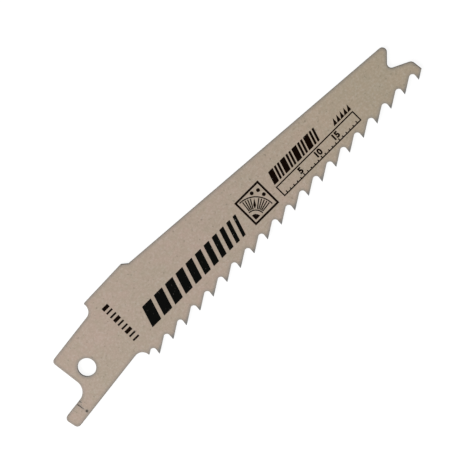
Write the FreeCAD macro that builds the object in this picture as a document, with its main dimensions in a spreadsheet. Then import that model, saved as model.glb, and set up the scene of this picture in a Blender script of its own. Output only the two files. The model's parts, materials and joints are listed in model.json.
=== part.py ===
import FreeCAD, Part
import math
import os

import Sketcher

# Reciprocating saw blade, one flat piece of steel strip, in millimetres.
# Frame: origin on the axis of the shank's hole at half thickness, +X along the shank towards the nose,
# +Y towards the back of the blade, +Z out of the flat face. The teeth are on the -Y side.
# The body is drawn in a frame of its own: X runs along the line of the tooth tips, and the origin is where
# that line meets the line of the steps that part the shank from the strip.

SIZES = {
    # From the tang's rearmost corner to the front of the nose, along the shank. As many teeth as fit are cut.
    "overall_length": 102.0,
    "thickness": 1.25,
    "edge_round": 0.25,
    # The tooth line falls away from the shank's axis by this angle towards the nose.
    "cant_angle": 5.1,
    # Shank: what the clamp holds, with the tang behind it. A reach is measured from the hole's axis.
    "shank_width": 12.7,
    "shank_reach": 10.0,
    "shank_end_reach": 3.65,
    "shank_end_radius": 0.85,
    "hole_diameter": 3.9,
    "tang_width": 3.35,
    "tang_length": 7.8,
    "tang_slant": 5.4,
    "tang_radius": 0.9,
    "tang_root_radius": 2.65,
    # Steps from the shank out to the strip, each with a hollow root.
    "shoulder_rise": 2.25,
    "tooth_drop": 3.48,
    "step_radius": 1.9,
    "step_corner_radius": 0.25,
    # Raised shoulder behind the first teeth, and the ramp down to the straight back edge.
    "shoulder_length": 11.25,
    "shoulder_drop": 1.05,
    "ramp_angle": 41.2,
    # Nose: a hook between two rounded points, measured from the centre of its notch.
    "nose_notch_depth": 2.93,
    "nose_notch_height": 6.28,
    "nose_notch_radius": 0.9,
    "nose_back_rise": 3.63,
    "nose_back_radius": 0.95,
    "nose_front_radius": 1.1,
    "nose_upper_angle": 43.8,
    "nose_lower_angle": 27.5,
    # Teeth: they lean back to the shank, so the blade cuts as it is pulled.
    "tooth_pitch": 4.06,
    "heel_gap": 1.61,
    "tip_land": 0.06,
    "rake_angle": 7.5,
    "clearance_angle": 30.5,
    "gullet_radius": 0.7,
    "tooth_set": 0.28,
    "set_height": 1.15,
    # Marks on the tang's upper face: two scored lines from its back edge, and a punched dimple.
    "score_depth": 0.15,
    "long_score_reach": 7.25,
    "long_score_length": 2.0,
    "long_score_width": 0.34,
    "short_score_reach": 6.5,
    "short_score_length": 0.7,
    "short_score_width": 0.2,
    "dimple_reach": 7.15,
    "dimple_inset": 0.8,
    "dimple_diameter": 0.55,
}

# The largest share of the step beside it that a rounded corner takes up.
BACK_STEP_SHARE = 0.85
FRONT_STEP_SHARE = 0.55
STEP_CORNER_SHARE = 0.12

# Shares of a pitch: how far each tooth's block starts ahead of its tip, and the least that the last tip
# stays behind the front of the nose.
BLOCK_LEAD = 0.25
NOSE_LAND = 0.3

# How many whole teeth there are from the steps to the nose, as tooth_count() works it out.
STRIP_REACH = "(sizes.overall_length - sizes.tang_length - sizes.shank_end_reach - sizes.shank_reach)"
TOOTH_RUN = f"({STRIP_REACH} / cos(sizes.cant_angle * 1 deg) - sizes.heel_gap)"
TOOTH_COUNT = f"(floor({TOOTH_RUN} / sizes.tooth_pitch - {NOSE_LAND}) + 1)"

QUARTER_TURN = 90
HALF_TURN = 180
FULL_TURN = 360
UP = FreeCAD.Vector(0, 0, 1)
NEAR = 1e-6

# The sketcher's numbers for the ends and the centre of a curve, and for a sketch's own X axis and origin.
START, END, CENTRE = range(1, 4)
X_AXIS = -1
ORIGIN = (X_AXIS, START)


def make_sheet(doc):
    """Puts the driving dimensions in a spreadsheet, a name and a value in each row."""
    sheet = doc.addObject("Spreadsheet::Sheet", "sizes")
    for row, (name, value) in enumerate(SIZES.items(), start=1):
        sheet.set(f"A{row}", name)
        sheet.set(f"B{row}", str(value))
        sheet.setAlias(f"B{row}", name)
    doc.recompute()
    return sheet


def direction(degrees):
    """Gives the unit vector at an angle from the tooth line."""
    turn = math.radians(degrees)
    return FreeCAD.Vector(math.cos(turn), math.sin(turn), 0)


def shank_point(along, across):
    """Gives a point in the body's frame, measured along and across the shank from the hole's axis."""
    cant = SIZES["cant_angle"]
    from_steps = along - SIZES["shank_reach"]
    from_tips = across + SIZES["tooth_drop"] + SIZES["shank_width"] / 2
    return direction(cant) * from_steps + direction(cant + QUARTER_TURN) * from_tips


def nose_foot():
    """Gives the point where the front of the nose would meet the line of the tooth tips."""
    reach = SIZES["overall_length"] - SIZES["tang_length"] - SIZES["shank_end_reach"] - SIZES["shank_reach"]
    return FreeCAD.Vector(reach / math.cos(math.radians(SIZES["cant_angle"])), 0, 0)


def tooth_count():
    """Gives how many whole teeth fit along the strip."""
    return math.floor((nose_foot().x - SIZES["heel_gap"]) / SIZES["tooth_pitch"] - NOSE_LAND) + 1


def crossing(first, second):
    """Gives the point where two lines cross, each a point and an angle."""
    start, heading = first[0], direction(first[1])
    other, square = second[0], direction(second[1] + QUARTER_TURN)
    return start + heading * ((other - start).dot(square) / heading.dot(square))


def origin_part(body, role):
    """Gives one of the body's own origin planes or axes."""
    return [item for item in body.Origin.OriginFeatures if item.Role == role][0]


def new_sketch(body, name, role="XY_Plane"):
    """Adds an empty sketch on one of the body's origin planes."""
    sketch = body.newObject("Sketcher::SketchObject", name)
    sketch.AttachmentSupport = [(origin_part(body, role), "")]
    sketch.MapMode = "FlatFace"
    return sketch


def shank_sketch(body, name, height):
    """Adds an empty sketch square to the shank, with its origin on the hole's axis."""
    sketch = new_sketch(body, name)
    sketch.AttachmentOffset = FreeCAD.Placement(shank_point(0, 0), FreeCAD.Rotation(UP, SIZES["cant_angle"]))
    turn, back = "sizes.cant_angle * 1 deg", "sizes.shank_reach"
    rise = "(sizes.tooth_drop + sizes.shank_width / 2)"
    sketch.setExpression("AttachmentOffset.Base.x", f"-{back} * cos({turn}) - {rise} * sin({turn})")
    sketch.setExpression("AttachmentOffset.Base.y", f"-{back} * sin({turn}) + {rise} * cos({turn})")
    sketch.setExpression("AttachmentOffset.Base.z", height)
    sketch.setExpression("AttachmentOffset.Rotation.Angle", turn)
    return sketch


def size(sketch, constraint, expression):
    """Adds a dimension to a sketch and binds it to the sheet."""
    index = sketch.addConstraint(constraint)
    sketch.setExpression(f"Constraints[{index}]", expression)


def relate(sketch, kind, *places):
    """Adds a constraint that holds lines or points together without a dimension."""
    return sketch.addConstraint(Sketcher.Constraint(kind, *places))


def set_angle(sketch, line, expression):
    """Sets the angle of a line from the sketch's X axis."""
    heading = sketch.getPoint(line, END) - sketch.getPoint(line, START)
    angle = math.atan2(heading.y, heading.x)
    size(sketch, Sketcher.Constraint("Angle", line, angle), f"({expression}) * 1 deg")


def set_distance(sketch, point, line, expression):
    """Sets the square distance from a point to a line."""
    start = sketch.getPoint(line, START)
    heading = sketch.getPoint(line, END) - start
    distance = (sketch.getPoint(*point) - start).cross(heading).Length / heading.Length
    size(sketch, Sketcher.Constraint("Distance", *point, line, distance), expression)


def set_offset(sketch, kind, first, second, expression):
    """Sets how far the second point lies from the first along DistanceX or DistanceY."""
    gap = sketch.getPoint(*second) - sketch.getPoint(*first)
    value = gap.x if kind == "DistanceX" else gap.y
    size(sketch, Sketcher.Constraint(kind, *first, *second, value), expression)


def add_line(sketch, start, end):
    """Adds a straight line and gives its number."""
    return sketch.addGeometry(Part.LineSegment(start, end), False)


def add_polygon(sketch, points):
    """Adds a closed chain of straight lines through the points and gives their numbers."""
    lines = [add_line(sketch, start, end) for start, end in zip(points, points[1:] + points[:1])]
    for line, after in zip(lines, lines[1:] + lines[:1]):
        relate(sketch, "Coincident", line, END, after, START)
    return lines


def add_point(sketch, place, *lines):
    """Adds a helping point that lies on each of the given lines."""
    point = sketch.addGeometry(Part.Point(place), True)
    for line in lines:
        relate(sketch, "PointOnObject", point, START, line)
    return (point, START)


def radius(name):
    """Gives a corner's radius and the expression that binds it."""
    return SIZES[name], f"sizes.{name}"


def limited(name, wall, share):
    """Gives a corner's radius and its expression, kept within a share of the wall that it rounds."""
    return min(SIZES[name], share * SIZES[wall]), f"min(sizes.{name}; {share} * sizes.{wall})"


def round_corner(first, second, rounding):
    """Gives the arc that rounds the corner of two lines, then each line's new end with the arc's end there."""
    turn = (second[1] - first[1] + HALF_TURN) % FULL_TURN - HALF_TURN
    corner = crossing(first, second)
    reach = rounding * math.tan(math.radians(abs(turn)) / 2)
    start = corner - direction(first[1]) * reach
    end = corner + direction(second[1]) * reach
    centre = start + direction(first[1] + math.copysign(QUARTER_TURN, turn)) * rounding
    middle = centre + (corner - centre).normalize() * rounding
    if turn > 0:
        return Part.ArcOfCircle(start, middle, end), (start, START), (end, END)
    return Part.ArcOfCircle(end, middle, start), (start, END), (end, START)


def draw_outline(sketch, lines, corners):
    """Draws a closed outline and gives the number of each of its lines by name.

    lines maps a name to a point and an angle, in order. corners maps a line's name to the rounding at its end.
    """
    names = list(lines)
    following = dict(zip(names, names[1:] + names[:1]))
    starts, ends, arcs = {}, {}, {}
    for name, after in following.items():
        ends[name] = starts[after] = (crossing(lines[name], lines[after]), None)
        if name in corners:
            arcs[name], ends[name], starts[after] = round_corner(lines[name], lines[after], corners[name][0])
    edges = {name: add_line(sketch, starts[name][0], ends[name][0]) for name in names}
    for name, after in following.items():
        if name not in corners:
            relate(sketch, "Coincident", edges[name], END, edges[after], START)
            continue
        arc = sketch.addGeometry(arcs[name], False)
        edges[f"{name}_corner"] = arc
        relate(sketch, "Tangent", edges[name], END, arc, ends[name][1])
        relate(sketch, "Tangent", edges[after], START, arc, starts[after][1])
        size(sketch, Sketcher.Constraint("Radius", arc, corners[name][0]), corners[name][1])
    return edges


def blank_outline(body):
    """Draws the blade without its set teeth, and gives the sketch and its lines by name."""
    cant, half = SIZES["cant_angle"], SIZES["shank_width"] / 2
    step, ramp = shoulder_points()
    foot = crossing((ramp, -SIZES["ramp_angle"]), (step - FreeCAD.Vector(0, SIZES["shoulder_drop"], 0), 0))
    last_tip = FreeCAD.Vector(SIZES["heel_gap"] + (tooth_count() - 1) * SIZES["tooth_pitch"], 0, 0)
    land = FreeCAD.Vector(SIZES["tip_land"], 0, 0)
    notch = notch_centre()
    upper = notch + direction(SIZES["nose_upper_angle"] + QUARTER_TURN) * SIZES["nose_notch_radius"]
    lower = notch + direction(-SIZES["nose_lower_angle"] - QUARTER_TURN) * SIZES["nose_notch_radius"]
    top_line = (upper, SIZES["nose_upper_angle"] + HALF_TURN)
    hook = crossing(top_line, (notch + FreeCAD.Vector(0, SIZES["nose_back_rise"], 0), 0))
    back = math.degrees(math.atan2(hook.y - foot.y, hook.x - foot.x))
    lines = {
        "shank_back": (shank_point(0, half), cant),
        "back_step": (FreeCAD.Vector(), cant + QUARTER_TURN),
        "shoulder": (step, 0),
        "ramp": (foot, -SIZES["ramp_angle"]),
        "back_edge": (foot, back),
        "hook_back": top_line,
        "hook_front": (lower, -SIZES["nose_lower_angle"]),
        "nose_front": (nose_foot(), cant - QUARTER_TURN),
        "last_clearance": (last_tip + land, HALF_TURN + SIZES["clearance_angle"]),
        "tip_edge": (last_tip, HALF_TURN),
        "last_block": (last_tip - FreeCAD.Vector(BLOCK_LEAD * SIZES["tooth_pitch"], 0, 0), QUARTER_TURN),
        "bend": (FreeCAD.Vector(0, SIZES["set_height"], 0), HALF_TURN),
        "front_step": (FreeCAD.Vector(), cant + QUARTER_TURN),
        "shank_front": (shank_point(0, -half), cant + HALF_TURN),
        "tang_end": (tang_corner(), cant + QUARTER_TURN + SIZES["tang_slant"]),
        "tang_back": (tang_corner(), cant),
        "shank_end": (shank_point(-SIZES["shank_end_reach"], 0), cant + QUARTER_TURN),
    }
    corners = {
        "shank_back": limited("step_radius", "shoulder_rise", BACK_STEP_SHARE),
        "back_step": limited("step_corner_radius", "shoulder_rise", STEP_CORNER_SHARE),
        "shoulder": radius("step_corner_radius"),
        "back_edge": radius("nose_back_radius"),
        "hook_back": radius("nose_notch_radius"),
        "hook_front": radius("nose_front_radius"),
        "front_step": limited("step_radius", "tooth_drop", FRONT_STEP_SHARE),
        "shank_front": radius("tang_radius"),
        "tang_end": radius("tang_radius"),
        "tang_back": radius("tang_root_radius"),
        "shank_end": radius("shank_end_radius"),
    }
    sketch = new_sketch(body, "blank_outline")
    edges = draw_outline(sketch, lines, corners)
    size_shank(sketch, edges)
    size_tang(sketch, edges)
    size_shoulder(sketch, edges, step, ramp)
    size_nose(sketch, edges, hook)
    size_last_tooth(sketch, edges, last_tip)
    return sketch, edges


def shoulder_points():
    """Gives the shoulder's two sharp corners, at the step and at the top of the ramp."""
    step = shank_point(SIZES["shank_reach"], SIZES["shank_width"] / 2 + SIZES["shoulder_rise"])
    return step, step + FreeCAD.Vector(SIZES["shoulder_length"], 0, 0)


def notch_centre():
    """Gives the centre of the nose's notch, behind the nose's front and above the line of the tooth tips."""
    cant = SIZES["cant_angle"]
    square = (nose_foot() - direction(cant) * SIZES["nose_notch_depth"], cant + QUARTER_TURN)
    return crossing(square, (FreeCAD.Vector(0, SIZES["nose_notch_height"], 0), 0))


def tang_corner():
    """Gives the sharp corner of the tang's end and its back edge, which is the blade's rearmost point."""
    across = SIZES["tang_width"] - SIZES["shank_width"] / 2
    return shank_point(-SIZES["shank_end_reach"] - SIZES["tang_length"], across)


def size_shank(sketch, edges):
    """Sizes the shank, with both steps square to it and in line with the sketch's origin."""
    set_angle(sketch, edges["shank_back"], "sizes.cant_angle")
    for step in ("back_step", "front_step"):
        relate(sketch, "Perpendicular", edges["shank_back"], edges[step])
        relate(sketch, "PointOnObject", *ORIGIN, edges[step])
    relate(sketch, "Parallel", edges["shank_back"], edges["shank_front"])
    set_distance(sketch, ORIGIN, edges["shank_front"], "sizes.tooth_drop")
    set_distance(sketch, (edges["shank_front"], START), edges["shank_back"], "sizes.shank_width")
    relate(sketch, "Perpendicular", edges["shank_back"], edges["shank_end"])
    set_distance(sketch, ORIGIN, edges["shank_end"], "sizes.shank_reach + sizes.shank_end_reach")


def size_tang(sketch, edges):
    """Sizes the tang, which is flush with the front of the shank, and the blade's length from its corner."""
    relate(sketch, "Parallel", edges["shank_back"], edges["tang_back"])
    set_distance(sketch, (edges["tang_back"], START), edges["shank_front"], "sizes.tang_width")
    set_angle(sketch, edges["tang_end"], f"{QUARTER_TURN} + sizes.cant_angle + sizes.tang_slant")
    corner = add_point(sketch, tang_corner(), edges["tang_end"], edges["tang_back"])
    set_distance(sketch, corner, edges["shank_end"], "sizes.tang_length")
    set_distance(sketch, corner, edges["nose_front"], "sizes.overall_length")


def size_shoulder(sketch, edges, step, ramp):
    """Sizes the shoulder and its ramp from their two sharp corners."""
    relate(sketch, "Horizontal", edges["shoulder"])
    step_corner = add_point(sketch, step, edges["back_step"], edges["shoulder"])
    ramp_corner = add_point(sketch, ramp, edges["shoulder"], edges["ramp"])
    set_distance(sketch, step_corner, edges["shank_back"], "sizes.shoulder_rise")
    set_offset(sketch, "DistanceX", step_corner, ramp_corner, "sizes.shoulder_length")
    set_angle(sketch, edges["ramp"], "-sizes.ramp_angle")
    set_distance(sketch, (edges["ramp"], END), edges["shoulder"], "sizes.shoulder_drop")


def size_last_tooth(sketch, edges, last_tip):
    """Sizes the last tooth, which stays straight: its clearance face and the block it is cut from."""
    tip = add_point(sketch, last_tip, X_AXIS)
    set_offset(sketch, "DistanceX", ORIGIN, tip, f"sizes.heel_gap + ({TOOTH_COUNT} - 1) * sizes.tooth_pitch")
    set_angle(sketch, edges["last_clearance"], f"sizes.clearance_angle - {HALF_TURN}")
    relate(sketch, "Horizontal", edges["tip_edge"])
    relate(sketch, "PointOnObject", edges["tip_edge"], START, X_AXIS)
    set_offset(sketch, "DistanceX", tip, (edges["tip_edge"], START), "sizes.tip_land")
    relate(sketch, "Vertical", edges["last_block"])
    set_offset(sketch, "DistanceX", (edges["last_block"], START), tip, f"{BLOCK_LEAD} * sizes.tooth_pitch")
    relate(sketch, "Horizontal", edges["bend"])
    set_offset(sketch, "DistanceY", ORIGIN, (edges["bend"], START), "sizes.set_height")


def size_nose(sketch, edges, hook):
    """Sizes the hooked nose, whose front is square to the shank."""
    relate(sketch, "Perpendicular", edges["shank_back"], edges["nose_front"])
    set_angle(sketch, edges["hook_back"], f"sizes.nose_upper_angle - {HALF_TURN}")
    set_angle(sketch, edges["hook_front"], "-sizes.nose_lower_angle")
    notch = (edges["hook_back_corner"], CENTRE)
    set_distance(sketch, notch, edges["nose_front"], "sizes.nose_notch_depth")
    set_offset(sketch, "DistanceY", ORIGIN, notch, "sizes.nose_notch_height")
    hook_corner = add_point(sketch, hook, edges["back_edge"], edges["hook_back"])
    set_offset(sketch, "DistanceY", notch, hook_corner, "sizes.nose_back_rise")


def add_both_ways(body, kind, name, profile, length):
    """Adds a pad or a pocket that reaches as far up as down from its sketch."""
    feature = body.newObject(f"PartDesign::{kind}", name)
    feature.Profile = profile
    feature.SideType = "Symmetric"
    feature.setExpression("Length", length)
    return feature


def round_rim(body, blank, outline, edges):
    """Rounds the rim of both faces, apart from the stretch where the teeth are cut."""
    toothed = [edges[name] for name in ("last_clearance", "tip_edge", "last_block", "bend")]
    sharp = [(outline.getPoint(line, START) + outline.getPoint(line, END)) / 2 for line in toothed]
    rim = []
    for number, edge in enumerate(blank.Shape.Edges, start=1):
        upright = abs(edge.Vertexes[0].Z - edge.Vertexes[-1].Z) > NEAR
        middle = FreeCAD.Vector(edge.CenterOfMass.x, edge.CenterOfMass.y, 0)
        if not upright and min(middle.distanceToPoint(point) for point in sharp) > NEAR:
            rim.append(f"Edge{number}")
    feature = body.newObject("PartDesign::Fillet", "rim")
    feature.Base = (blank, rim)
    feature.setExpression("Radius", "sizes.edge_round")


def tooth_section(body, name, side):
    """Draws the cross-section of a tooth that leans to one side by tooth_set at its tip."""
    half, lean, bend = SIZES["thickness"] / 2, side * SIZES["tooth_set"], SIZES["set_height"]
    corners = [(bend, -half), (bend, half), (0, half + lean), (0, lean - half)]
    points = [FreeCAD.Vector(x, y, 0) for x, y in corners]
    sketch = new_sketch(body, name, "YZ_Plane")
    root, _, tip, _ = add_polygon(sketch, points)
    relate(sketch, "Symmetric", root, START, root, END, X_AXIS)
    relate(sketch, "Vertical", tip)
    set_offset(sketch, "DistanceY", (root, START), (root, END), "sizes.thickness")
    set_offset(sketch, "DistanceY", (tip, END), (tip, START), "sizes.thickness")
    set_offset(sketch, "DistanceX", ORIGIN, (root, START), "sizes.set_height")
    relate(sketch, "Vertical", tip, START, *ORIGIN)
    bent = [(root, END), (tip, START)]
    if side < 0:
        bent.reverse()
    set_offset(sketch, "DistanceY", *bent, "sizes.tooth_set")
    return sketch


def repeat(body, feature, name, spacing, count):
    """Repeats a feature along the tooth line."""
    pattern = body.newObject("PartDesign::LinearPattern", name)
    pattern.Originals = [feature]
    pattern.Direction = (origin_part(body, "X_Axis"), [""])
    pattern.Mode = "Spacing"
    pattern.setExpression("Offset", spacing)
    pattern.setExpression("Occurrences", count)
    body.Tip = pattern


def set_teeth(body, name, side, skipped):
    """Adds every second tooth as a block that leans to one side, a pitch long until the gullets shape it."""
    sketch = tooth_section(body, f"{name}_section", side)
    start = f"sizes.heel_gap + ({skipped} - {BLOCK_LEAD}) * sizes.tooth_pitch"
    sketch.setExpression("AttachmentOffset.Base.z", start)
    block = body.newObject("PartDesign::Pad", f"{name}_tooth")
    block.Profile = sketch
    block.setExpression("Length", "sizes.tooth_pitch")
    repeat(body, block, f"{name}_teeth", "2 * sizes.tooth_pitch", f"floor(({TOOTH_COUNT} - {skipped}) / 2)")


def gullet_outline(body):
    """Draws the gap ahead of the first tooth: its rake face, a round root and the clearance face opposite."""
    tip = FreeCAD.Vector(SIZES["heel_gap"], 0, 0)
    heel = tip - FreeCAD.Vector(SIZES["tooth_pitch"] - SIZES["tip_land"], 0, 0)
    lines = {
        "mouth": (FreeCAD.Vector(0, -SIZES["set_height"], 0), 0),
        "rake": (tip, QUARTER_TURN - SIZES["rake_angle"]),
        "clearance": (heel, HALF_TURN + SIZES["clearance_angle"]),
    }
    sketch = new_sketch(body, "gullet_outline")
    edges = draw_outline(sketch, lines, {"rake": radius("gullet_radius")})
    relate(sketch, "Horizontal", edges["mouth"])
    set_offset(sketch, "DistanceY", (edges["mouth"], START), ORIGIN, "sizes.set_height")
    set_angle(sketch, edges["rake"], f"{QUARTER_TURN} - sizes.rake_angle")
    set_angle(sketch, edges["clearance"], f"sizes.clearance_angle - {HALF_TURN}")
    tip_point = add_point(sketch, tip, X_AXIS, edges["rake"])
    heel_point = add_point(sketch, heel, X_AXIS, edges["clearance"])
    set_offset(sketch, "DistanceX", ORIGIN, tip_point, "sizes.heel_gap")
    set_offset(sketch, "DistanceX", heel_point, tip_point, "sizes.tooth_pitch - sizes.tip_land")
    return sketch


def cut_gullets(body):
    """Cuts the gullet ahead of each tooth, which also gives the tooth before it its clearance face."""
    depth = "sizes.thickness + 4 * sizes.tooth_set"
    gullet = add_both_ways(body, "Pocket", "gullet", gullet_outline(body), depth)
    repeat(body, gullet, "gullets", "sizes.tooth_pitch", TOOTH_COUNT)


def add_circle(sketch, centre, name):
    """Draws a circle of a diameter from the sheet and gives its centre."""
    circle = sketch.addGeometry(Part.Circle(centre, UP, SIZES[name] / 2), False)
    size(sketch, Sketcher.Constraint("Diameter", circle, SIZES[name]), f"sizes.{name}")
    return (circle, CENTRE)


def cut_hole(body):
    """Cuts the round hole for the clamp's pin."""
    sketch = shank_sketch(body, "hole_outline", "0")
    centre = add_circle(sketch, FreeCAD.Vector(), "hole_diameter")
    relate(sketch, "Coincident", *centre, *ORIGIN)
    add_both_ways(body, "Pocket", "hole", sketch, "2 * sizes.thickness")


def cut_mark(body, name, sketch):
    """Cuts a shallow mark down into the upper face."""
    mark = body.newObject("PartDesign::Pocket", name)
    mark.Profile = sketch
    mark.setExpression("Length", "sizes.score_depth")


def score_tang(body, name):
    """Cuts a scored line that narrows to a point as it runs in from the tang's back edge."""
    reach, length, width = (SIZES[f"{name}_{part}"] for part in ("reach", "length", "width"))
    edge = SIZES["tang_width"] - SIZES["shank_width"] / 2
    points = [
        FreeCAD.Vector(-reach - width / 2, edge, 0),
        FreeCAD.Vector(-reach, edge - length, 0),
        FreeCAD.Vector(-reach + width / 2, edge, 0),
    ]
    sketch = shank_sketch(body, f"{name}_outline", "sizes.thickness / 2")
    rear, _, mouth = add_polygon(sketch, points)
    relate(sketch, "Horizontal", mouth)
    set_offset(sketch, "DistanceY", (mouth, START), ORIGIN, "sizes.shank_width / 2 - sizes.tang_width")
    set_offset(sketch, "DistanceX", (rear, END), ORIGIN, f"sizes.{name}_reach")
    set_offset(sketch, "DistanceX", (mouth, END), (mouth, START), f"sizes.{name}_width")
    set_offset(sketch, "DistanceX", (mouth, END), (rear, END), f"sizes.{name}_width / 2")
    set_offset(sketch, "DistanceY", (rear, END), (mouth, START), f"sizes.{name}_length")
    cut_mark(body, name, sketch)


def punch_dimple(body):
    """Cuts the small round dimple at the inner end of the long scored line."""
    across = SIZES["shank_width"] / 2 - SIZES["dimple_inset"]
    sketch = shank_sketch(body, "dimple_outline", "sizes.thickness / 2")
    centre = add_circle(sketch, FreeCAD.Vector(-SIZES["dimple_reach"], -across, 0), "dimple_diameter")
    set_offset(sketch, "DistanceX", centre, ORIGIN, "sizes.dimple_reach")
    set_offset(sketch, "DistanceY", centre, ORIGIN, "sizes.shank_width / 2 - sizes.dimple_inset")
    cut_mark(body, "dimple", sketch)


def place(body):
    """Turns the body square to the shank and brings the hole's axis to the origin."""
    body.Placement = FreeCAD.Placement(FreeCAD.Vector(), FreeCAD.Rotation(-UP, SIZES["cant_angle"]))
    body.setExpression("Placement.Rotation.Angle", "sizes.cant_angle * 1 deg")
    body.setExpression("Placement.Base.x", "sizes.shank_reach")
    body.setExpression("Placement.Base.y", "-sizes.tooth_drop - sizes.shank_width / 2")


def make_blade(doc):
    """Builds the blade: the flat blank, teeth that lean left and right in turn, and the cuts."""
    body = doc.addObject("PartDesign::Body", "blade")
    body.Label = "blade"
    outline, edges = blank_outline(body)
    blank = add_both_ways(body, "Pad", "blank", outline, "sizes.thickness")
    doc.recompute()
    round_rim(body, blank, outline, edges)
    set_teeth(body, "left", 1, 0)
    set_teeth(body, "right", -1, 1)
    cut_gullets(body)
    cut_hole(body)
    score_tang(body, "long_score")
    score_tang(body, "short_score")
    punch_dimple(body)
    place(body)
    doc.recompute()
    return body


def check(doc, body):
    """Stops if a feature failed, a sketch is loose or a cut did nothing."""
    for item in doc.Objects:
        if "Invalid" in item.State or "Error" in item.State:
            raise RuntimeError(f"{item.Name} failed: {item.State}")
        if item.TypeId == "Sketcher::SketchObject" and not item.FullyConstrained:
            raise RuntimeError(f"{item.Name} is not fully constrained")
        if item.TypeId == "PartDesign::Pocket" and item.Shape.Volume > item.BaseFeature.Shape.Volume - NEAR:
            raise RuntimeError(f"{item.Name} cut nothing")
    if body.Shape.isNull() or not body.Shape.isValid() or len(body.Shape.Solids) != 1:
        raise RuntimeError("the blade is not one valid solid")


def main():
    """Makes the document, checks it and writes the blade's shape."""
    doc = FreeCAD.newDocument("saw_blade")
    make_sheet(doc)
    blade = make_blade(doc)
    check(doc, blade)
    os.makedirs("parts", exist_ok=True)
    blade.Shape.exportStep(f"parts/{blade.Label}.step")
    box = blade.Shape.BoundBox
    print(f"{blade.Label}: {box.XLength:.2f} x {box.YLength:.2f} x {box.ZLength:.2f} mm, "
          f"{blade.Shape.Volume:.1f} cubic mm, {len(blade.Shape.Faces)} faces")


main()
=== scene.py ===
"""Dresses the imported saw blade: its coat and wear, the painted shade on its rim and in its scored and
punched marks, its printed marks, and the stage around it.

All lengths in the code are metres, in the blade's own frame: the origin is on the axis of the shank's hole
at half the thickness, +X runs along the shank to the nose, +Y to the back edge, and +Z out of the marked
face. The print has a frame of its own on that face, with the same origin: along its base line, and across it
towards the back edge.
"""

import json
import math

import bpy
import numpy as np
from mathutils import Euler, Matrix, Vector


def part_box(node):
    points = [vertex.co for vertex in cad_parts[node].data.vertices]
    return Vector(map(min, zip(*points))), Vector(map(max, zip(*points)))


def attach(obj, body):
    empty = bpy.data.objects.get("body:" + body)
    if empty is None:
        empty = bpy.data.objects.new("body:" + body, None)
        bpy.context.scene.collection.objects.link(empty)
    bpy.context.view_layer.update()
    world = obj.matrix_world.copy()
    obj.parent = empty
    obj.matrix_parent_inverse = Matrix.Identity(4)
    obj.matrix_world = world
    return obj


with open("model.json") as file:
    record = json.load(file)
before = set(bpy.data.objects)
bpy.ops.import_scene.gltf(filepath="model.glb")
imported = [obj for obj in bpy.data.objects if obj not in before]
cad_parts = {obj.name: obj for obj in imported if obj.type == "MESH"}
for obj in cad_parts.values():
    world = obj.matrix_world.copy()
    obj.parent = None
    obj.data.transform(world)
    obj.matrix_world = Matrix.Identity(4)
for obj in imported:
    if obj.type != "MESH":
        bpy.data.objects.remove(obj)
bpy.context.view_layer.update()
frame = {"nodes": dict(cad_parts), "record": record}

bl_info = {
    "name": "Saw blade dresser",
    "version": (1, 0, 0),
    "blender": (4, 5, 0),
    "location": "3D View > Sidebar > Saw blade",
    "description": "Coats, marks and lights a reciprocating saw blade",
    "category": "Object",
}

MM = 0.001
BLADE = "blade"
BODY = "root"
QUARTER = math.pi / 2
DARK, WHITE = (0.0, 0.0, 0.0), (1.0, 1.0, 1.0)

# The floor lies under the lowest tooth tips, and the print lies on the face that carries the tang's marks.
MOUNTS = {mount["name"]: mount["pos_m"] for mount in frame["record"]["mounts"]}
FLOOR_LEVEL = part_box(BLADE)[0].z
MARKED_FACE = MOUNTS["shank_marked_face"][2]

# How much of an ink film lies below the face, as a share of the film.
SUNK_SHARE = 0.3

# The rays that see the floor and the sky as white.
PALE_RAYS = ("Is Camera Ray", "Is Glossy Ray", "Is Transmission Ray")

# How many times finer than its patches a noise's smallest grains are, in doublings.
SMOOTH, GRAINY, GRAINIEST = 1.0, 2.0, 3.0

# Spans of a noise's value: where most of it lies, its pale half, its dark half, and what few spots reach.
MIDDLE = (0.35, 0.65)
PALE_SIDE, DARK_SIDE = (0.5, 0.75), (0.5, 0.25)
PEAKS = (0.67, 0.76)

# Span of the surface normal's upward part, from the flat face to the rounded rim, over which painted shade
# darkens the rim.
RIM_SHADE_SPAN = (0.95, 0.6)

# Span of openness in front of a face, from an open place to one beside a wall, over which painted shade
# darkens it, and how many rays look for it.
WALL_SHADE_SPAN = (0.92, 0.55)
WALL_RAYS = 8

# Span of openness inside the steel, from the middle of a face to its edge, and how many rays look for it.
NEAR_EDGE = (1.0, 0.5)
EDGE_RAYS = 16

# The painted shade in the punched mark: where it begins and where it is full, as shares of the mark's radius,
# and how many times as strong it is as beside a wall.
PUNCH_SPAN = (1.2, 0.8)
PUNCH_STRENGTH = 1.3

# The ink's darkest and palest shade, in multiples of its unevenness.
INK_SHADES = (-3, 6)

# Steps in a bar's rounded corner, in an arc or a circle, and in each curve of a digit.
CORNER_STEPS = 4
ARC_STEPS = 24
DIGIT_STEPS = 6

# The height of the font's digits, as a share of its size.
DIGIT_SHARE = 0.73

# The nearest and the furthest that the camera sees.
SIGHT = (0.01, 20.0)


# Settings

def length(name, description, millimetres):
    """A length, written here in millimetres and kept in metres."""
    return bpy.props.FloatProperty(name=name, description=description, subtype="DISTANCE", unit="LENGTH",
                                   min=0.0, precision=5, default=millimetres * MM)


def place(name, description, *millimetres):
    """A place of two or three parts, written here in millimetres and kept in metres."""
    return bpy.props.FloatVectorProperty(name=name, description=description, subtype="XYZ", unit="LENGTH",
                                         size=len(millimetres), precision=5,
                                         default=[part * MM for part in millimetres])


def angle(name, description, degrees):
    """An angle, written here in degrees and kept in radians."""
    return bpy.props.FloatProperty(name=name, description=description, subtype="ANGLE", unit="ROTATION",
                                   default=math.radians(degrees))


def share(name, description, value):
    """A share between nothing and all."""
    return bpy.props.FloatProperty(name=name, description=description, subtype="FACTOR", min=0.0, max=1.0,
                                   default=value)


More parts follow.
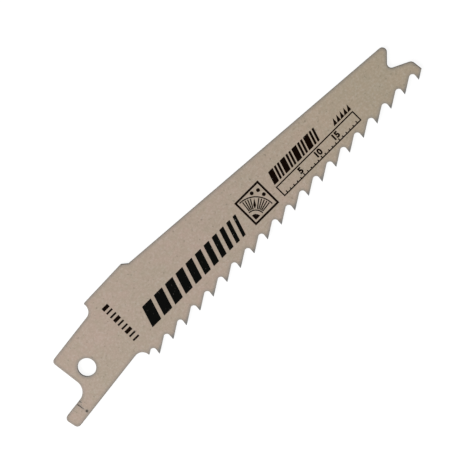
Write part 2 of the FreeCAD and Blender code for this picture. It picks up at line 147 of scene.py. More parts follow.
def colour(name, description, *parts):
    """A colour of three parts, as shares of the light that it gives back."""
    return bpy.props.FloatVectorProperty(name=name, description=description, subtype="COLOR", size=3, min=0.0,
                                         max=1.0, default=parts)


def count(name, description, number):
    """How many there are of something."""
    return bpy.props.IntProperty(name=name, description=description, min=1, default=number)


class CoatSettings(bpy.types.PropertyGroup):
    """The coat of the steel, how it wears at the edges and the tooth tips, and the painted shade on its rim
    and in its scored and punched marks.
    """

    coat: colour("Coat", "Colour of the matt coat on the shank", 0.468, 0.352, 0.285)
    nose: colour("Nose", "Colour of the matt coat at the nose", 0.455, 0.362, 0.262)
    olive: colour("Olive", "Colour of the mottle's patches and the clouds", 0.385, 0.336, 0.243)
    # The rim's colour is the coat worn thin at the edges, and also painted shade on the rim where it faces
    # sideways.
    rim: colour("Rim", "Colour of the rounded edges, where the coat is thin", 0.250, 0.228, 0.203)
    tip: colour("Tips", "Colour of the hardened steel at the tooth tips", 0.160, 0.165, 0.165)
    # The grime's colour is painted shade in the scored and punched marks.
    grime: colour("Grime", "Colour of the dirt in the scored and punched marks", 0.030, 0.026, 0.021)
    roughness: share("Roughness", "Roughness of the coat", 0.56)
    uneven: share("Unevenness", "How far the roughness goes either way", 0.07)
    gloss: share("Gloss", "How strongly the coat reflects", 0.30)
    grain: length("Grain", "Size of one grain of the blasted surface", 0.40)
    grain_depth: length("Grain depth", "Height of the blasted surface's grain", 0.004)
    grain_share: share("Grain contrast", "How much a grain's colour leaves the coat's", 0.105)
    patch: length("Patch", "Size of one patch of the mottle", 1.4)
    patch_share: share("Patch contrast", "How much of the olive shows in a patch", 0.40)
    cloud: length("Cloud", "Size of the large faint clouds", 14.0)
    cloud_share: share("Cloud contrast", "How much of the olive shows in a cloud", 0.35)
    speck: length("Speck", "Size of one dark speck", 0.7)
    speck_share: share("Speck contrast", "How much darker a speck is than the coat", 0.30)
    wear: length("Wear", "How far the thin coat reaches in from an edge", 0.80)
    # The wear's contrast also sets how strongly the painted shade on the rim shows.
    wear_share: share("Wear contrast", "How much of the rim's colour shows beside the edge", 0.9)
    # The grime's reach and contrast set the painted shade beside walls and in the punched mark.
    grime_reach: length("Grime reach", "How near a wall must be for dirt to stay beside it", 0.25)
    grime_share: share("Grime contrast", "How much of the dirt's colour shows in the marks", 0.65)
    punch: place("Punch", "Middle of the punched mark on the tang", -7.15, -5.55)
    punch_width: length("Punch width", "Width of the punched mark", 0.55)
    cant: angle("Cant", "Angle between the tooth tips' line and the shank", 5.1)
    tip_line: length("Tip line", "Distance from the shank's hole to the tooth tips' line", 8.90)
    tip_share: share("Tip contrast", "How much of the hardened steel's colour shows at the tips", 0.8)
    tip_reach: length("Tip reach", "How far the hardened steel's colour shows above the tips", 1.15)
    tint_start: length("Tint start", "Where the coat starts to turn to the nose's colour", 40.0)
    tint_end: length("Tint end", "Where the coat has turned to the nose's colour", 85.0)


class PrintSettings(bpy.types.PropertyGroup):
    """What all the printed marks share: the inks, the film and the slant of the print on the blade."""

    heavy_ink: colour("Heavy ink", "Colour of the large bars", 0.0020, 0.0021, 0.0018)
    fine_ink: colour("Fine ink", "Colour of the small marks and lines", 0.0036, 0.0010, 0.0001)
    gloss: share("Gloss", "How strongly the ink reflects", 0.015)
    roughness: share("Roughness", "Roughness of the ink", 0.50)
    uneven: share("Unevenness", "How far the roughness and the shade of the ink go either way", 0.08)
    pore_share: share("Pores", "How much of the coat shows through a pinhole in the ink", 0.4)
    film: length("Film", "Thickness of the ink", 0.012)
    corner: length("Corner", "Rounding of the bars' corners", 0.10)
    turn: angle("Turn", "Angle of the print's base line to the shank", -6.85)
    lean: angle("Lean", "How far the bars lean towards the nose", 18.0)


class BandSettings(bpy.types.PropertyGroup):
    """The large band of leaning bars, which grow thinner towards the nose."""

    start: place("Start", "Foot of the first bar, along and across the print", 15.55, -3.69)
    height: length("Height", "Height of the bars", 4.5)
    first_width: length("First width", "Width of the bar beside the shank", 2.55)
    last_width: length("Last width", "Width of the bar beside the badge", 0.8)
    gap: length("Gap", "Gap between two bars", 0.87)
    bars: count("Bars", "How many bars there are", 11)


class BarsSettings(bpy.types.PropertyGroup):
    """The short bars above the scale, one wide and two narrow in turn."""

    start: place("Start", "Foot of the first bar, along and across the print", 54.02, -0.69)
    height: length("Height", "Height of the bars", 2.8)
    wide: length("Wide", "Width of a wide bar", 1.30)
    narrow: length("Narrow", "Width of a narrow bar", 0.52)
    gap: length("Gap", "Gap between two bars", 0.33)
    groups: count("Groups", "How many times the rhythm comes", 4)


class ScaleSettings(bpy.types.PropertyGroup):
    """The long frame with its scale and numbers."""

    low: place("Low corner", "The frame's corner beside the badge and the teeth", 53.97, -3.64)
    high: place("High corner", "The frame's corner beside the nose and the back edge", 75.78, -1.27)
    line: length("Line", "Width of the frame's line", 0.27)
    inset: length("Inset", "From the frame's end to the first tick", 0.90)
    pitch: length("Pitch", "From one tick to the next", 1.0)
    ticks: count("Ticks", "How many ticks there are", 21)
    group: count("Group", "How many ticks there are from one long one to the next", 5)
    long: length("Long", "Length of a long tick", 0.42)
    short: length("Short", "Length of a short tick", 0.28)
    width: length("Width", "Width of a tick", 0.24)
    digit: length("Digit", "Height of the digits", 1.30)
    rise: length("Rise", "From the frame's lower line to the foot of the digits", 0.74)
    weight: length("Weight", "How far each side of a digit's strokes is widened", 0.10)


class BadgeSettings(bpy.types.PropertyGroup):
    """The square frame with an angle gauge: graduation lines between two arcs, a needle and three dots."""

    low: place("Low corner", "The frame's corner beside the band and the teeth", 45.70, -3.62)
    high: place("High corner", "The frame's corner beside the scale and the back edge", 52.01, 2.24)
    frame_line: length("Frame line", "Width of the frame's line", 0.44)
    margin: length("Margin", "From the frame's line to the gauge's pivot", 0.60)
    pivot: length("Pivot", "Radius of the quarter disc in the gauge's corner", 1.20)
    inner: length("Inner arc", "Radius of the inner arc", 2.00)
    outer: length("Outer arc", "Radius of the outer arc", 4.72)
    line: length("Line", "Width of the arcs and the graduation lines", 0.24)
    lines: count("Lines", "How many graduation lines there are", 11)
    gap: length("Gap", "Bare space where two lines would meet", 0.12)
    needle: angle("Needle", "Angle of the needle to the print's base line", 50.0)
    needle_width: length("Needle width", "Width of the needle at its widest", 0.60)
    dot: length("Dot", "Radius of a dot", 0.40)
    middle_dot: length("Middle dot", "Distance of the middle dot from the pivot", 6.10)
    outer_dots: length("Outer dots", "Distance of the outer dots from the pivot", 5.50)
    dot_turn: angle("Dot turn", "Angle of the middle dot to the print's base line", 41.0)
    dot_angle: angle("Dot angle", "Angle from the middle dot to an outer dot", 13.0)


class ToothRowSettings(bpy.types.PropertyGroup):
    """The row of small triangles beside the scale."""

    start: place("Start", "Foot of the first triangle, along and across the print", 71.08, -0.74)
    base: length("Base", "Width of a triangle's foot", 0.94)
    height: length("Height", "Height of a triangle", 1.38)
    pitch: length("Pitch", "From one triangle to the next", 0.99)
    teeth: count("Teeth", "How many triangles there are", 5)


class TickRowSettings(bpy.types.PropertyGroup):
    """The row of short ticks across the blade, beside the shank."""

    first: place("First", "Middle of the tick beside the back edge, along and across the print", 11.60, 5.95)
    last: place("Last", "Middle of the tick beside the teeth, along and across the print", 11.60, -2.80)
    long: length("Long", "Length of a tick", 1.62)
    wide: length("Wide", "Width of every third tick", 0.78)
    narrow: length("Narrow", "Width of the ticks between", 0.40)
    groups: count("Groups", "How many times the rhythm comes", 3)


class StageSettings(bpy.types.PropertyGroup):
    """The floor, the light and the camera."""

    floor: colour("Floor", "Colour of the floor", 0.20, 0.20, 0.20)
    floor_glow: share("Floor glow", "Brightness that the camera sees beside the lamp's light", 0.90)
    floor_reach: length("Floor reach", "Half the width of the floor", 3000.0)
    sky: share("Sky", "Strength of the even light from all round", 0.28)
    lamp_power: bpy.props.FloatProperty(
        name="Lamp power", description="Power of the large soft lamp", unit="POWER", min=0.0, default=3.1)
    lamp_place: place("Lamp place", "Where the large soft lamp hangs", -300.0, 50.0, 500.0)
    lamp_width: length("Lamp width", "Width of the large soft lamp", 500.0)
    lens: length("Lens", "The camera's focal length", 249.6)
    sensor: length("Sensor", "Width of the camera's picture plane", 36.0)
    distance: length("Distance", "From the camera to the point that it looks at", 636.2)
    aim: place("Aim", "The point at the middle of the picture", 40.78, -4.23, 0.0)
    turn: bpy.props.FloatVectorProperty(
        name="Camera turn", description="How the camera is turned about X, Y and Z", subtype="EULER", size=3,
        unit="ROTATION", default=(math.radians(-7.002), math.radians(2.962), math.radians(-52.106)))


# Materials

def add_node(tree, kind, inputs=(), **options):
    """Adds a node of this kind, with its options. Each input is a socket to link to or a value to set."""
    node = tree.nodes.new(kind)
    for option, value in options.items():
        setattr(node, option, value)
    for socket, value in inputs:
        if isinstance(value, bpy.types.NodeSocket):
            tree.links.new(value, node.inputs[socket])
        else:
            node.inputs[socket].default_value = value
    return node


def add_noise(tree, size, detail):
    """Adds a noise with patches about as wide as the size, on Object coordinates, and gives its value."""
    spot = add_node(tree, "ShaderNodeTexCoord").outputs["Object"]
    inputs = (("Vector", spot), ("Scale", 1 / size), ("Detail", detail))
    return add_node(tree, "ShaderNodeTexNoise", inputs).outputs["Fac"]


def add_span(tree, value, before, after, smooth=False):
    """Takes a value from one span to another, and keeps it there."""
    inputs = (("Value", value), ("From Min", before[0]), ("From Max", before[1]), ("To Min", after[0]),
              ("To Max", after[1]))
    kind = "SMOOTHSTEP" if smooth else "LINEAR"
    return add_node(tree, "ShaderNodeMapRange", inputs, interpolation_type=kind).outputs["Result"]


def add_math(tree, operation, *values):
    """Adds a Math node for this operation and gives its value."""
    return add_node(tree, "ShaderNodeMath", tuple(enumerate(values)), operation=operation).outputs["Value"]


def add_vector_math(tree, operation, first, second):
    """Adds a Vector Math node for this operation on two places or directions, and gives its value."""
    node = add_node(tree, "ShaderNodeVectorMath", ((0, first), (1, second)), operation=operation)
    return node.outputs["Value"]


def add_mix(tree, mask, first, second):
    """Mixes two colours by a mask. Each colour is three parts or a socket."""
    node = add_node(tree, "ShaderNodeMix", data_type="RGBA")
    sockets = {socket.identifier: socket for socket in node.inputs}
    tree.links.new(mask, sockets["Factor_Float"])
    for name, tint in (("A_Color", first), ("B_Color", second)):
        if isinstance(tint, bpy.types.NodeSocket):
            tree.links.new(tint, sockets[name])
        else:
            sockets[name].default_value = opaque(tint)
    return next(socket for socket in node.outputs if socket.identifier == "Result_Color")


def opaque(tint):
    """The colour with a fourth part of 1."""
    return (*tint, 1.0)


def shade(tint, change):
    """The colour made lighter by a share of itself, or darker where the share is below zero."""
    return tuple(part * (1 + change) for part in tint)


def new_material(name):
    """Makes a material with nothing but a Principled shader and its output, and gives it with both."""
    material = bpy.data.materials.new(name)
    material.use_nodes = True
    tree = material.node_tree
    return material, tree, next(node for node in tree.nodes if node.type == "BSDF_PRINCIPLED")


def finish_shader(tree, shader, tint, grain, finish, depth):
    """Gives the shader its colour, a gloss, a roughness that goes with the grain, and the grain's bumps."""
    tree.links.new(tint, shader.inputs["Base Color"])
    span = (finish.roughness - finish.uneven, finish.roughness + finish.uneven)
    tree.links.new(add_span(tree, grain, MIDDLE, span), shader.inputs["Roughness"])
    shader.inputs["Specular IOR Level"].default_value = finish.gloss
    bump = add_node(tree, "ShaderNodeBump", (("Distance", depth), ("Height", grain)))
    tree.links.new(bump.outputs["Normal"], shader.inputs["Normal"])


def coat_material(coat):
    """Matt coat: grain, mottle and clouds, thin along the edges, painted shade on the rim and in the marks,
    blue-grey at the tips.
    """
    material, tree, shader = new_material("blade_coat")
    grain = add_noise(tree, coat.grain, GRAINY)
    patches = add_noise(tree, coat.patch, GRAINIEST)
    tint = mottled_coat(tree, coat, grain, patches)
    # Darker along the edges: the coat worn thin, and painted shade on the rim where it faces sideways.
    tint = add_mix(tree, thin_coat(tree, coat, patches), tint, coat.rim)
    tint = add_mix(tree, hard_tips(tree, coat), tint, coat.tip)
    # Painted shade in the scored and punched marks.
    tint = add_mix(tree, hidden_dirt(tree, coat), tint, coat.grime)
    finish_shader(tree, shader, tint, grain, coat, coat.grain_depth)
    return material


def mottled_coat(tree, coat, grain, patches):
    """The coat's colour from the shank to the nose, with its clouds, patches, grains and specks."""
    spot = add_node(tree, "ShaderNodeTexCoord").outputs["Object"]
    along = add_node(tree, "ShaderNodeSeparateXYZ", (("Vector", spot),)).outputs["X"]
    to_nose = add_span(tree, along, (coat.tint_start, coat.tint_end), (0.0, 1.0), smooth=True)
    tint = add_mix(tree, to_nose, coat.coat, coat.nose)
    clouds = add_noise(tree, coat.cloud, GRAINY)
    tint = add_mix(tree, add_span(tree, clouds, MIDDLE, (0.0, coat.cloud_share)), tint, coat.olive)
    tint = add_mix(tree, add_span(tree, patches, MIDDLE, (0.0, coat.patch_share)), tint, coat.olive)
    tint = add_mix(tree, add_span(tree, grain, PALE_SIDE, (0.0, coat.grain_share)), tint, WHITE)
    tint = add_mix(tree, add_span(tree, grain, DARK_SIDE, (0.0, coat.grain_share)), tint, DARK)
    specks = add_noise(tree, coat.speck, SMOOTH)
    return add_mix(tree, add_span(tree, specks, PEAKS, (0.0, coat.speck_share)), tint, DARK)


def thin_coat(tree, coat, patches):
    """Where the coat is thin beside an edge, as seen from inside the steel, and painted shade on the rounded
    rim where it faces sideways.
    """
    options = {"samples": EDGE_RAYS, "only_local": True, "inside": True}
    inner = add_node(tree, "ShaderNodeAmbientOcclusion", (("Distance", coat.wear),), **options)
    beside = add_span(tree, inner.outputs["AO"], NEAR_EDGE, (0.0, coat.wear_share))
    surface = add_node(tree, "ShaderNodeNewGeometry").outputs["Normal"]
    upward = add_node(tree, "ShaderNodeSeparateXYZ", (("Vector", surface),)).outputs["Z"]
    # Painted shade on the rim, by how far its surface faces sideways.
    rim = add_span(tree, add_math(tree, "ABSOLUTE", upward), RIM_SHADE_SPAN, (0.0, 1.0))
    broken = add_span(tree, patches, MIDDLE, (coat.wear_share, 1.0))
    return add_math(tree, "MULTIPLY", add_math(tree, "MAXIMUM", beside, rim), broken)


def hard_tips(tree, coat):
    """How near a place is to the tooth tips' line, from its distance across the row of teeth."""
    spot = add_node(tree, "ShaderNodeTexCoord").outputs["Object"]
    square = (math.sin(coat.cant), math.cos(coat.cant), 0.0)
    across = add_vector_math(tree, "DOT_PRODUCT", spot, square)
    reach = (coat.tip_reach - coat.tip_line, -coat.tip_line)
    return add_span(tree, across, reach, (0.0, coat.tip_share), smooth=True)


def hidden_dirt(tree, coat):
    """Painted shade: darker close to a wall, as in the scored marks, and all over the punched mark."""
    options = {"samples": WALL_RAYS, "only_local": True}
    air = add_node(tree, "ShaderNodeAmbientOcclusion", (("Distance", coat.grime_reach),), **options)
    wall_shade = add_span(tree, air.outputs["AO"], WALL_SHADE_SPAN, (0.0, coat.grime_share))
    spot = add_node(tree, "ShaderNodeTexCoord").outputs["Object"]
    # Painted shade over the punched mark, by the distance from its middle.
    away = add_vector_math(tree, "DISTANCE", spot, (*coat.punch, MARKED_FACE))
    span = [reach * coat.punch_width / 2 for reach in PUNCH_SPAN]
    punched = add_span(tree, away, span, (0.0, PUNCH_STRENGTH * coat.grime_share))
    return add_math(tree, "MAXIMUM", wall_shade, punched)


def ink_material(name, tint, ink, coat):
    """Printed ink: near black, with faint pinholes that show the coat, and a slightly uneven gloss."""
    material, tree, shader = new_material(name)
    grain = add_noise(tree, coat.grain, GRAINIEST)
    darkest, palest = (shade(tint, change * ink.uneven) for change in INK_SHADES)
    uneven = add_mix(tree, add_span(tree, grain, MIDDLE, (0.0, 1.0)), darkest, palest)
    pores = add_span(tree, add_noise(tree, coat.speck, GRAINY), PEAKS, (0.0, ink.pore_share))
    finish_shader(tree, shader, add_mix(tree, pores, uneven, coat.rim), grain, ink, coat.grain_depth / 2)
    return material


def ink_for(scene, name):
    """The heavy or the fine ink, made once."""
    ink = scene.blade_print
    return bpy.data.materials.get(name) or ink_material(name, getattr(ink, name), ink, scene.blade_coat)


def seen_directly(tree):
    """A value of 1 for rays from the camera, a mirror or glass, and 0 for the rays that light the blade."""
    rays = add_node(tree, "ShaderNodeLightPath").outputs
    first, second, third = (rays[name] for name in PALE_RAYS)
    return add_math(tree, "MAXIMUM", add_math(tree, "MAXIMUM", first, second), third)


def floor_material(stage):
    """Pale matt floor that keeps the shadow, with a glow that only the camera and reflections see."""
    material = bpy.data.materials.new("pale_floor")
    material.use_nodes = True
    tree = material.node_tree
    tree.nodes.clear()
    matt = add_node(tree, "ShaderNodeBsdfDiffuse", (("Color", opaque(stage.floor)),))
    strength = add_math(tree, "MULTIPLY", seen_directly(tree), stage.floor_glow)
    glow = add_node(tree, "ShaderNodeEmission", (("Strength", strength),))
    both = add_node(tree, "ShaderNodeAddShader", ((0, matt.outputs[0]), (1, glow.outputs[0])))
    add_node(tree, "ShaderNodeOutputMaterial", (("Surface", both.outputs[0]),))
    return material


# Ink shapes

def film_levels(ink):
    """The levels of an ink film: a little inside the marked face, and above it by the film's thickness."""
    return MARKED_FACE - SUNK_SHARE * ink.film, MARKED_FACE + ink.film


def on_blade(points, ink):
    """Turns print coordinates into the blade's, by the print's angle about the hole."""
    along = round_points(ink.turn)
    across = np.array((-along[1], along[0]))
    return points[..., :1] * along + points[..., 1:2] * across


def round_points(turns):
    """Points on a circle of radius 1 at these angles: the cosine along and the sine across."""
    return np.stack((np.cos(turns), np.sin(turns)), axis=-1)


def arc(turn):
    """Points on a circle of radius 1, from the base line's direction round to this angle."""
    return round_points(np.linspace(0, turn, ARC_STEPS + 1))


def leaning_bars(start, height, widths, gap, ink):
    """Outlines of a row of leaning bars, each a rectangle with a quarter circle at its corners.

    At the angle t of a corner whose middle is at m, the point is (w / 2 - r) * sign(cos m) + r * cos t along
    and (h / 2 - r) * sign(sin m) + r * sin t across, from the bar's middle. The lean then moves it along by
    its height times the lean's tangent.
    """
    slope = math.tan(ink.lean)
    quarter = np.linspace(0, QUARTER, CORNER_STEPS + 1)
    first = np.repeat(np.arange(4) * QUARTER, len(quarter))
    corners = np.sign(round_points(first + QUARTER / 2))
    half = np.stack((widths / 2, np.full(len(widths), height / 2)), axis=1) - ink.corner
    outlines = half[:, None] * corners + ink.corner * round_points(first + np.tile(quarter, 4))
    outlines[..., 0] += outlines[..., 1] * slope
    feet = start[0] + np.concatenate(([0], np.cumsum(widths + gap)[:-1])) + widths / 2
    middles = np.stack((feet + height / 2 * slope, np.full(len(widths), start[1] + height / 2)), axis=1)
    return outlines + middles[:, None]


def straight_lines(starts, ends, widths):
    """Outlines of straight lines: each end, moved by half the line's width to the right and to the left."""
    run = ends - starts
    run = run / np.linalg.norm(run, axis=1, keepdims=True)
    side = np.stack((-run[:, 1], run[:, 0]), axis=1) * np.broadcast_to(widths, len(run))[:, None] / 2
    return np.stack((starts - side, ends - side, ends + side, starts + side), axis=1)


def film(outlines, ink):
    """Filled flat shapes, given as their points and their arrays of faces.

    Each shape has four rows of points: its middle and its outline at the low level, then its outline and its
    middle at the high level. Triangles join a middle to its outline, and squares join the two outlines.
    """
    low, high = film_levels(ink)
    flat = on_blade(outlines, ink)
    shapes, steps = flat.shape[:2]
    middle = flat.mean(axis=1, keepdims=True)
    level = np.repeat((low, high), steps + 1)
    level = np.broadcast_to(level[None, :, None], (shapes, len(level), 1))
    points = np.concatenate((np.concatenate((middle, flat, flat, middle), axis=1), level), axis=2)
    here = 1 + np.arange(steps)
    after = np.roll(here, -1)
    below = np.stack((np.zeros(steps, int), after, here), axis=1)
    above = np.stack((np.full(steps, 2 * steps + 1), steps + here, steps + after), axis=1)
    sides = np.stack((here, after, steps + after, steps + here), axis=1)
    shift = (np.arange(shapes) * (2 * steps + 2))[:, None, None]
    ends = np.concatenate((below, above)) + shift
    return points.reshape(-1, 3), [ends.reshape(-1, 3), (sides + shift).reshape(-1, 4)]


def strip(path, width, closed, ink):
    """A printed line: a rectangle as wide as the line and as thick as the film, carried along a flat path.

    At each path point the side direction is the mitre of its two runs' normals, n = (a + b) / (1 + a . b).
    The rectangle's corners are the point plus and minus n times half the width, at the low and high levels.
    """
    low, high = film_levels(ink)
    path = on_blade(np.asarray(path, float), ink)
    runs = np.roll(path, -1, axis=0) - path
    runs /= np.linalg.norm(runs, axis=1, keepdims=True)
    after = np.stack((-runs[:, 1], runs[:, 0]), axis=1)
    before = np.roll(after, 1, axis=0)
    if not closed:
        before[0], after[-1] = after[0], after[-2]
    side = (before + after) / (1 + (before * after).sum(axis=1, keepdims=True)) * width / 2
    left, right = path + side, path - side
    corners = np.stack((right, left, left, right), axis=1)
    level = np.broadcast_to(np.array((low, low, high, high))[None, :, None], (len(path), 4, 1))
    points = np.concatenate((corners, level), axis=2).reshape(-1, 3)
    rows = np.arange(len(path) if closed else len(path) - 1)
    here = 4 * rows[:, None] + np.arange(4)
    there = 4 * ((rows + 1) % len(path))[:, None] + np.arange(4)
    beside_here, beside_there = np.roll(here, -1, axis=1), np.roll(there, -1, axis=1)
    walls = np.stack((here, beside_here, beside_there, there), axis=2).reshape(-1, 4)
    ends = np.stack((np.arange(4)[::-1], len(points) - 4 + np.arange(4)))
    return points, [walls] if closed else [walls, ends]


def rectangle(low, high):
    """The four corners of a rectangle, anticlockwise."""
    return [(low[0], low[1]), (high[0], low[1]), (high[0], high[1]), (low[0], high[1])]


def graduation(badge, foot):
    """Outlines of the graduation lines, which run from near the inner arc to near the outer one.

    They are spread evenly between the ends of the arcs. Those that would touch the needle are left out.
    """
    turns = np.linspace(0, QUARTER, badge.lines + 2)[1:-1]
    near, wide, far = needle_radii(badge)
    clear = np.abs(turns - badge.needle) * wide > (badge.needle_width + badge.line) / 2
    heads = round_points(turns)[clear]
    return straight_lines(foot + heads * near, foot + heads * far, badge.line)


def needle_radii(badge):
    """How far the needle's tail, its widest place and its tip are from the pivot."""
    bare = badge.line / 2 + badge.gap
    near, far = badge.inner + bare, badge.outer - bare
    return near, near + (far - near) / 3, far


def needle_outline(badge, foot):
    """The needle: a kite from near the inner arc to near the outer one, widest a third of the way along."""
    head = round_points(badge.needle)
    side = np.array((-head[1], head[0])) * badge.needle_width / 2
    near, wide, far = needle_radii(badge)
    return foot + np.array((near * head, wide * head - side, far * head, wide * head + side))[None]


def dot_outlines(badge, foot):
    """Outlines of the three dots outside the outer arc: circles whose middles lie round the pivot."""
    turns = badge.dot_turn + badge.dot_angle * np.array((-1, 0, 1))
    away = np.array((badge.outer_dots, badge.middle_dot, badge.outer_dots))
    middles = foot + away[:, None] * round_points(turns)
    return middles[:, None] + badge.dot * arc(4 * QUARTER)[:-1]


# Pieces

def add_piece(name, parts, material):
    """Makes one piece of several closed meshes, each given as its points and its arrays of faces."""
    points, faces, total = [], [], 0
    for vertices, groups in parts:
        for group in groups:
            faces += (group + total).tolist()
        points.append(vertices)
        total += len(vertices)
    mesh = bpy.data.meshes.new(name)
    mesh.from_pydata(np.concatenate(points).tolist(), [], faces)
    finish_piece(name, mesh, material)


def finish_piece(name, mesh, material):
    """Gives a mesh its object and its material, and lets it ride with the blade."""
    mesh.validate()
    mesh.materials.clear()
    mesh.materials.append(material)
    piece = bpy.data.objects.new(name, mesh)
    bpy.context.scene.collection.objects.link(piece)
    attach(piece, BODY)


def add_number(number, foot, scale, ink, material):
    """A printed number: flat digits as thick as the film, turned with the print and put at their foot."""
    low, high = film_levels(ink)
    curve = bpy.data.curves.new("digits", "FONT")
    curve.body = str(number)
    curve.align_x = "CENTER"
    curve.size = scale.digit / MM / DIGIT_SHARE
    curve.offset = scale.weight / MM
    curve.extrude = (high - low) / MM / 2
    curve.resolution_u = DIGIT_STEPS
    carrier = bpy.data.objects.new("digits", curve)
    bpy.context.scene.collection.objects.link(carrier)
    bpy.context.view_layer.update()
    mesh = bpy.data.meshes.new_from_object(carrier)
    bpy.data.objects.remove(carrier)
    bpy.data.curves.remove(curve)
    spot = on_blade(np.array(foot), ink)
    move = Matrix.Translation((spot[0], spot[1], (low + high) / 2))
    mesh.transform(move @ Matrix.Rotation(ink.turn, 4, "Z") @ Matrix.Scale(MM, 4))
    mesh.name = f"scale_number_{number}"
    finish_piece(mesh.name, mesh, material)


# Stage

def add_floor(stage):
    """A flat square under the lowest point of the blade."""
    reach = stage.floor_reach
    mesh = bpy.data.meshes.new("floor")
    corners = [(*corner, FLOOR_LEVEL) for corner in rectangle((-reach, -reach), (reach, reach))]
    mesh.from_pydata(corners, [], [range(len(corners))])
    mesh.materials.append(floor_material(stage))
    floor = bpy.data.objects.new("floor", mesh)
    bpy.context.scene.collection.objects.link(floor)


def add_sky(scene, stage):
    """Even light from all round, which the camera and reflections see as white."""
    world = bpy.data.worlds.new("sky")
    world.use_nodes = True
    tree = world.node_tree
    tree.nodes.clear()
    light = add_node(tree, "ShaderNodeBackground", (("Color", opaque(WHITE)), ("Strength", stage.sky)))
    white = add_node(tree, "ShaderNodeBackground", (("Color", opaque(WHITE)), ("Strength", 1.0)))
    inputs = ((0, seen_directly(tree)), (1, light.outputs[0]), (2, white.outputs[0]))
    either = add_node(tree, "ShaderNodeMixShader", inputs)
    add_node(tree, "ShaderNodeOutputWorld", (("Surface", either.outputs[0]),))
    scene.world = world


def add_lamp(stage):
    """A large square lamp that faces the camera's aim."""
    light = bpy.data.lights.new("soft_lamp", "AREA")
    light.shape = "SQUARE"
    light.size = stage.lamp_width
    light.energy = stage.lamp_power
    lamp = bpy.data.objects.new("soft_lamp", light)
    lamp.location = stage.lamp_place
    lamp.rotation_euler = (Vector(stage.aim) - Vector(stage.lamp_place)).to_track_quat("-Z", "Y").to_euler()
    bpy.context.scene.collection.objects.link(lamp)


def add_camera(scene, stage):
    """The camera stands off the aim along its own axis, at the photograph's angle."""
    lens = bpy.data.cameras.new("camera")
    lens.lens = stage.lens / MM
    lens.sensor_width = stage.sensor / MM
    lens.clip_start, lens.clip_end = SIGHT
    turn = Euler(stage.turn)
    camera = bpy.data.objects.new("camera", lens)
    camera.rotation_euler = turn
    camera.location = Vector(stage.aim) + turn.to_matrix().col[2] * stage.distance
    scene.collection.objects.link(camera)
    scene.camera = camera


# Operators

class SAWBLADE_OT_coat(bpy.types.Operator):
    """Coats the blade."""

    bl_idname = "saw_blade.coat"
    bl_label = "Coat the blade"

    def execute(self, context):
        blade = frame["nodes"][BLADE]
        blade.data.materials.clear()
        blade.data.materials.append(coat_material(context.scene.blade_coat))
        return {"FINISHED"}


class SAWBLADE_OT_band(bpy.types.Operator):
    """Prints the large band of leaning bars."""

    bl_idname = "saw_blade.band"
    bl_label = "Print the large band"

    def execute(self, context):
        band, ink = context.scene.blade_band, context.scene.blade_print
        widths = np.linspace(band.first_width, band.last_width, band.bars)
        outlines = leaning_bars(band.start, band.height, widths, band.gap, ink)
        add_piece("large_band", [film(outlines, ink)], ink_for(context.scene, "heavy_ink"))
        return {"FINISHED"}


class SAWBLADE_OT_bars(bpy.types.Operator):
    """Prints the short bars above the scale."""

    bl_idname = "saw_blade.bars"
    bl_label = "Print the short bars"

    def execute(self, context):
        bars, ink = context.scene.blade_bars, context.scene.blade_print
        widths = np.tile((bars.wide, bars.narrow, bars.narrow), bars.groups)
        outlines = leaning_bars(bars.start, bars.height, widths, bars.gap, ink)
        add_piece("short_bars", [film(outlines, ink)], ink_for(context.scene, "fine_ink"))
        return {"FINISHED"}


class SAWBLADE_OT_scale(bpy.types.Operator):
    """Prints the long frame with its scale and numbers."""

    bl_idname = "saw_blade.scale"
    bl_label = "Print the scale"

    def execute(self, context):
        scale, ink = context.scene.blade_scale, context.scene.blade_print
        material = ink_for(context.scene, "fine_ink")
        add_piece("scale_frame", [strip(rectangle(scale.low, scale.high), scale.line, True, ink)], material)
        number = np.arange(scale.ticks)
        along = scale.low[0] + scale.inset + number * scale.pitch
        feet = np.stack((along, np.full(scale.ticks, scale.low[1] + scale.line / 2)), axis=1)
        rise = np.where(number % scale.group, scale.short, scale.long)[:, None] * np.array((0.0, 1.0))
        add_piece("scale_ticks", [film(straight_lines(feet, feet + rise, scale.width), ink)], material)
        for step in range(scale.group, scale.ticks - scale.group, scale.group):
            add_number(step, (along[step], scale.low[1] + scale.rise), scale, ink, material)
        return {"FINISHED"}


class SAWBLADE_OT_badge(bpy.types.Operator):
    """Prints the square badge with its angle gauge."""

    bl_idname = "saw_blade.badge"
    bl_label = "Print the square badge"

    def execute(self, context):
        badge, ink = context.scene.blade_badge, context.scene.blade_print
        material = ink_for(context.scene, "fine_ink")
        square = strip(rectangle(badge.low, badge.high), badge.frame_line, True, ink)
        add_piece("badge_frame", [square], material)
        foot = np.array(badge.low) + badge.margin
        arcs = [foot + radius * arc(QUARTER) for radius in (badge.inner, badge.outer)]
        add_piece("gauge_arcs", [strip(path, badge.line, False, ink) for path in arcs], material)
        add_piece("gauge_lines", [film(graduation(badge, foot), ink)], material)
        pivot = foot + badge.pivot * np.concatenate(([(0.0, 0.0)], arc(QUARTER)))
        add_piece("gauge_pivot", [film(pivot[None], ink)], material)
        add_piece("gauge_needle", [film(needle_outline(badge, foot), ink)], material)
        add_piece("gauge_dots", [film(dot_outlines(badge, foot), ink)], material)
        return {"FINISHED"}


class SAWBLADE_OT_tooth_row(bpy.types.Operator):
    """Prints the row of small triangles beside the scale."""

    bl_idname = "saw_blade.tooth_row"
    bl_label = "Print the small tooth row"

    def execute(self, context):
        row, ink = context.scene.blade_tooth_row, context.scene.blade_print
        feet = np.array(row.start) + np.arange(row.teeth)[:, None] * np.array((row.pitch, 0.0))
        corners = np.array(((0.0, 0.0), (row.base, 0.0), (row.base, row.height)))
        add_piece("tooth_row", [film(feet[:, None] + corners, ink)], ink_for(context.scene, "fine_ink"))
        return {"FINISHED"}


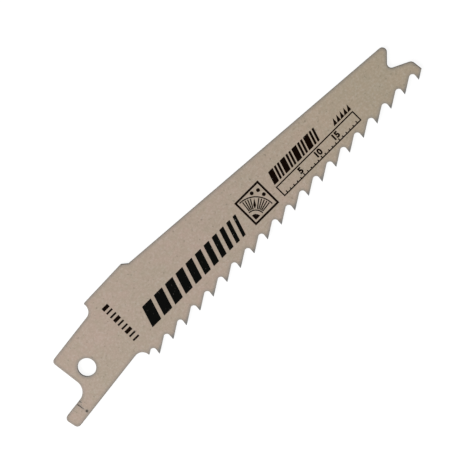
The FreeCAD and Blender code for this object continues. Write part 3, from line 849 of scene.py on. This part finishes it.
class SAWBLADE_OT_tick_row(bpy.types.Operator):
    """Prints the row of short ticks across the blade."""

    bl_idname = "saw_blade.tick_row"
    bl_label = "Print the ticks across the blade"

    def execute(self, context):
        row, ink = context.scene.blade_tick_row, context.scene.blade_print
        widths = np.tile((row.wide, row.narrow, row.narrow), row.groups)
        middles = np.linspace(row.first, row.last, len(widths))
        half = np.array((row.long / 2, 0.0))
        outlines = straight_lines(middles - half, middles + half, widths)
        add_piece("tick_row", [film(outlines, ink)], ink_for(context.scene, "fine_ink"))
        return {"FINISHED"}


class SAWBLADE_OT_stage(bpy.types.Operator):
    """Builds the floor, the lamp, the even light and the camera."""

    bl_idname = "saw_blade.stage"
    bl_label = "Set the stage"

    def execute(self, context):
        stage = context.scene.blade_stage
        add_floor(stage)
        add_sky(context.scene, stage)
        add_lamp(stage)
        add_camera(context.scene, stage)
        context.scene.view_settings.view_transform = "Standard"
        return {"FINISHED"}


# Panel

class SAWBLADE_PT_panel(bpy.types.Panel):
    """Lists the sizes, the colours and the steps."""

    bl_label = "Saw blade"
    bl_idname = "SAWBLADE_PT_panel"
    bl_space_type = "VIEW_3D"
    bl_region_type = "UI"
    bl_category = "Saw blade"

    def draw(self, context):
        for name, settings, step in GROUPS:
            box = self.layout.box()
            for setting in settings.__annotations__:
                box.prop(getattr(context.scene, name), setting)
            if step:
                box.operator(step.bl_idname)


GROUPS = (
    ("blade_stage", StageSettings, SAWBLADE_OT_stage),
    ("blade_coat", CoatSettings, SAWBLADE_OT_coat),
    ("blade_print", PrintSettings, None),
    ("blade_band", BandSettings, SAWBLADE_OT_band),
    ("blade_bars", BarsSettings, SAWBLADE_OT_bars),
    ("blade_scale", ScaleSettings, SAWBLADE_OT_scale),
    ("blade_badge", BadgeSettings, SAWBLADE_OT_badge),
    ("blade_tooth_row", ToothRowSettings, SAWBLADE_OT_tooth_row),
    ("blade_tick_row", TickRowSettings, SAWBLADE_OT_tick_row),
)
CLASSES = [part for _, settings, step in GROUPS for part in (settings, step) if part] + [SAWBLADE_PT_panel]


def register():
    """Registers the classes and gives the scene its settings."""
    for part in CLASSES:
        bpy.utils.register_class(part)
    for name, settings, _ in GROUPS:
        setattr(bpy.types.Scene, name, bpy.props.PointerProperty(type=settings))


def unregister():
    """Takes the settings and the classes away."""
    for name, _, _ in GROUPS:
        delattr(bpy.types.Scene, name)
    for part in reversed(CLASSES):
        bpy.utils.unregister_class(part)


def main():
    """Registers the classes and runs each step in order."""
    register()
    bpy.ops.saw_blade.stage()
    bpy.ops.saw_blade.coat()
    bpy.ops.saw_blade.band()
    bpy.ops.saw_blade.bars()
    bpy.ops.saw_blade.scale()
    bpy.ops.saw_blade.badge()
    bpy.ops.saw_blade.tooth_row()
    bpy.ops.saw_blade.tick_row()


if __name__ == "__main__":
    main()
